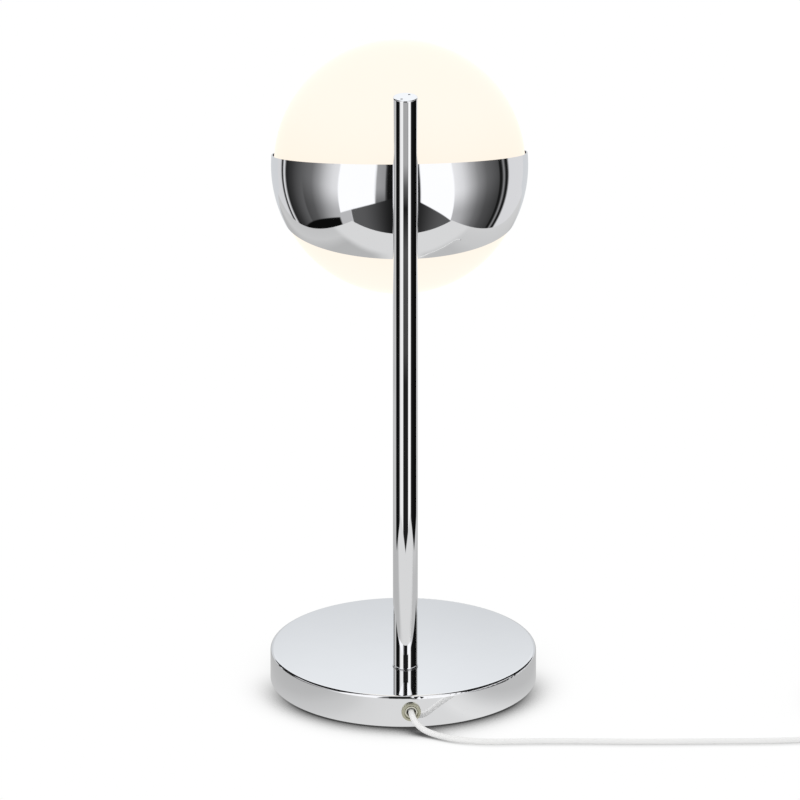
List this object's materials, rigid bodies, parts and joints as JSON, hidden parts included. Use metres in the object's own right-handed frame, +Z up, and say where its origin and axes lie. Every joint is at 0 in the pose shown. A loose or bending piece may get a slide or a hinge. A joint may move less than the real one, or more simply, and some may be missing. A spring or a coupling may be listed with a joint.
{
  "type": "table lamp",
  "caption": "Table lamp: opal glass globe held in a chrome band, carried by an upright chrome column on a round weighted base, with a white cord, switch and plug.",
  "frame": {"origin": "centre of the round resting face under the base", "axes": "+Z up along the column, +Y from the column towards the globe, +X to the right seen from the column's side"},
  "size_m": [0.3953, 0.2615, 0.3877],
  "materials": {
    "chrome": "polished chrome plate on steel",
    "opal_glass": "lit opal glass",
    "cast_iron": "cast, painted grey",
    "plated_steel": "zinc plated",
    "pad": "dark foam rubber",
    "gland_metal": "dull olive plated brass",
    "gland_bush": "pale nylon",
    "cord_white": "smooth white PVC",
    "core": "core insulation",
    "brass": "bright brass",
    "silicone": "clear silicone",
    "holder_plastic": "white heat-proof plastic",
    "bulb_metal": "nickel plated",
    "bulb_black": "black glass insulator",
    "bulb_white": "white plastic",
    "bulb_diffuser": "opal diffuser",
    "switch_white": "white plastic",
    "plug_white": "white PVC",
    "strap": "white hook-and-loop strap"
  },
  "bodies": {
    "stand": {"base_cover": "chrome", "base_weight": "cast_iron", "base_plate": "plated_steel", "plate_screws": "plated_steel", "foot_pad": "pad", "cord_gland": "gland_metal", "gland_sleeve": "gland_bush", "gland_nut": "gland_metal", "cord_clamp": "holder_plastic", "clamp_screws": "plated_steel", "held_lead": "cord_white", "column_foot": "plated_steel", "foot_stud": "plated_steel", "foot_washer": "plated_steel", "foot_nut": "plated_steel", "column_tube": "chrome", "column_cap": "chrome", "nipple_insert": "brass", "arm_nipple": "plated_steel", "arm_saddle": "chrome", "arm_washer": "plated_steel", "arm_nut": "plated_steel", "chrome_band": "chrome", "glass_bowl": "opal_glass", "dome_rests": "chrome", "dome_pads": "silicone", "holder_cap": "holder_plastic", "holder_body": "holder_plastic", "holder_shell": "brass", "holder_contact": "brass", "holder_terminals": "brass", "lead_cores": "core", "switch_lower": "switch_white", "switch_upper": "switch_white", "switch_screws": "plated_steel", "switch_terminals": "brass", "cord_lead": "cord_white", "cord_tail": "cord_white", "cord_end": "cord_white", "cord_coil": "cord_white", "cord_tie": "strap", "plug_body": "plug_white", "plug_pins": "bulb_metal", "pin_sleeves": "plug_white", "plug_relief": "plug_white"},
    "dome": {"glass_dome": "opal_glass"},
    "bulb": {"bulb_tip": "bulb_metal", "bulb_insulator": "bulb_black", "bulb_cap": "bulb_metal", "bulb_collar": "bulb_white", "bulb_globe": "bulb_diffuser"},
    "rocker": {"switch_rocker": "switch_white"}
  },
  "joints": [
    {"name": "dome_lift", "type": "slide", "parent": "stand", "child": "dome", "axis": [0, 0.2823, 0.9593], "range_m": [0, 0.1]},
    {"name": "bulb_out", "type": "slide", "parent": "stand", "child": "bulb", "axis": [0, 1, 0], "range_m": [0, 0.025]},
    {"name": "rocker_tilt", "type": "hinge", "parent": "stand", "child": "rocker", "pos_m": [0.262, -0.05, 0.0115], "axis": [1, 0, 0], "range_deg": [-16, 0]}
  ]
}
